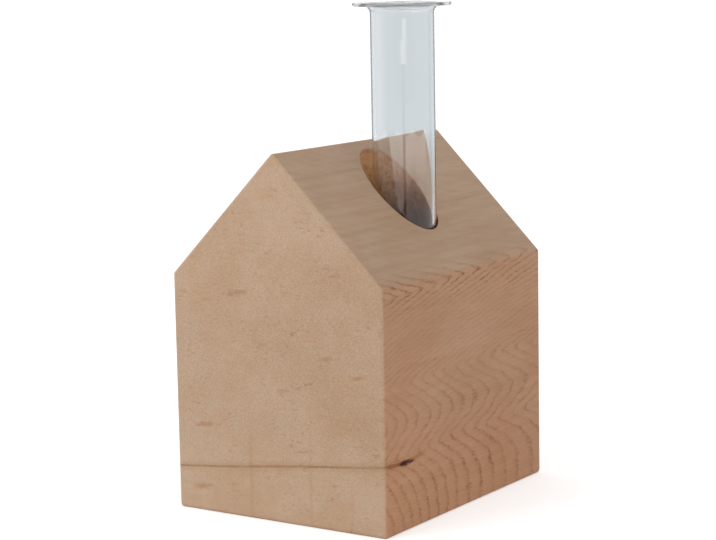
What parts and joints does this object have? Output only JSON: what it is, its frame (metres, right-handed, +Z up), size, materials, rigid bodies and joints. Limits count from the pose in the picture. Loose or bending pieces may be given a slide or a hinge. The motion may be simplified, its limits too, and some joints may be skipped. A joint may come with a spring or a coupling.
{
  "type": "test tube vase",
  "caption": "Bud vase: a solid wooden block shaped like a small gabled house, with a flanged glass test tube standing in a blind bore through its roof slope, like a chimney.",
  "frame": {"origin": "centre of the block's base, on the surface that it stands on", "axes": "+Z up, +X towards the roof slope that has the bore, the ridge runs along Y"},
  "size_m": [0.078, 0.095, 0.1572],
  "materials": {
    "timber": "sanded softwood, left without varnish",
    "glass": "clear, thin-walled, with a fire-polished lip"
  },
  "bodies": {
    "block": {"house_block": "timber"},
    "tube": {"test_tube": "glass"}
  },
  "joints": [
    {"name": "tube_lift", "type": "slide", "parent": "block", "child": "tube", "axis": [0, 0, 1], "range_m": [0, 0.085]}
  ]
}
